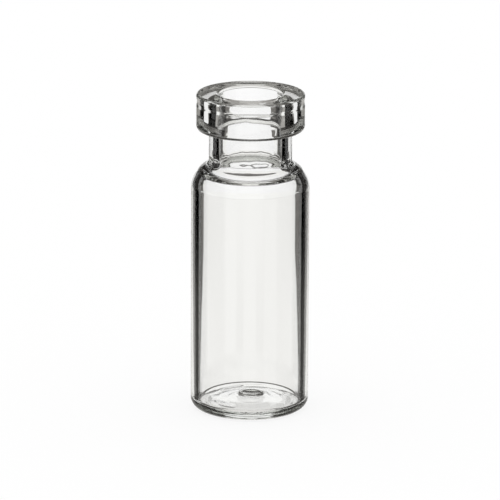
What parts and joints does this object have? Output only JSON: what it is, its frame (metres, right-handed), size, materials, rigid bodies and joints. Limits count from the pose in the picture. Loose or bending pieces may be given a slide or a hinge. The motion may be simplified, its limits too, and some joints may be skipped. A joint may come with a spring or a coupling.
{
  "type": "crimp neck sample vial",
  "caption": "Clear glass sample vial with a straight round body, rounded shoulder, short neck and thick crimp flange round an open mouth.",
  "frame": {"origin": "centre of the plane that the base stands on", "axes": "+Z along the vial's axis, from the base up to the open mouth"},
  "size_m": [0.0116, 0.0116, 0.032],
  "materials": {
    "glass": "clear"
  },
  "bodies": {
    "root": {"vial": "glass"}
  },
  "joints": []
}
